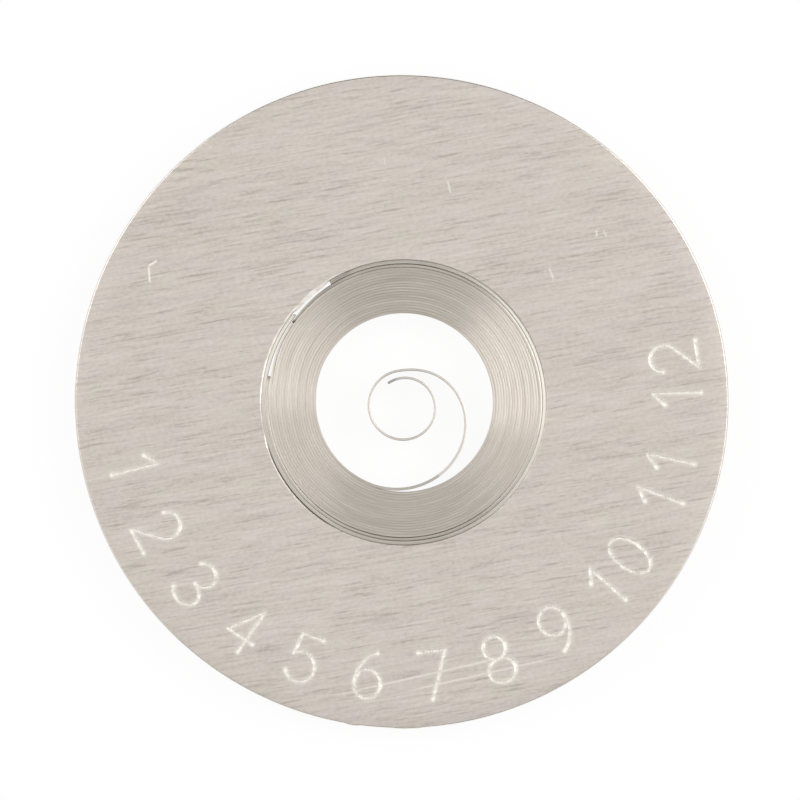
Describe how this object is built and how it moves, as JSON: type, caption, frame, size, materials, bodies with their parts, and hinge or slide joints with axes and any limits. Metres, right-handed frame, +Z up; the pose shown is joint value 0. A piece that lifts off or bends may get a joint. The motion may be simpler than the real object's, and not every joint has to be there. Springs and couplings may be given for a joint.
{
  "type": "watch mainspring in a retaining ring",
  "caption": "Flat spiral watch mainspring with a free eye, a slipping bridle and an open slip band, held wound in a flat round metal ring.",
  "frame": {"origin": "centre of the ring's rim, on the face that it lies on", "axes": "+Z up through the ring's thickness, +X to the right and +Y to the top as seen from above; the strips wind outward clockwise from above"},
  "size_m": [0.022, 0.022, 0.0013],
  "materials": {
    "ring_metal": "rolled sheet with a fine parallel grain, punched and stamped",
    "band_alloy": "cold-rolled spring alloy, bright",
    "bridle_alloy": "cold-rolled spring alloy, bright, darker where it is welded",
    "blade_alloy": "cold-rolled spring alloy, bright, with rounded edges"
  },
  "bodies": {
    "ring": {"retaining_ring": "ring_metal"},
    "slip_band": {"slip_band": "band_alloy"},
    "bridle": {"bridle_strip": "bridle_alloy"},
    "blade": {"mainspring_blade": "blade_alloy"}
  },
  "joints": [
    {"name": "push_out", "type": "slide", "parent": "ring", "child": "slip_band", "axis": [0, 0, 1], "range_m": [0, 0.00125]},
    {"name": "bridle_slip", "type": "hinge", "parent": "slip_band", "child": "bridle", "pos_m": [0.00007, -0.00003, 0.00065], "axis": [0, 0, 1], "continuous": true},
    {"name": "eye_wind", "type": "hinge", "parent": "bridle", "child": "blade", "pos_m": [0.00007, -0.00003, 0.00065], "axis": [0, 0, 1], "range_deg": [0, 3420], "stiffness_Nm_per_rad": 0.000029, "deforming": ["mainspring_blade"]}
  ]
}
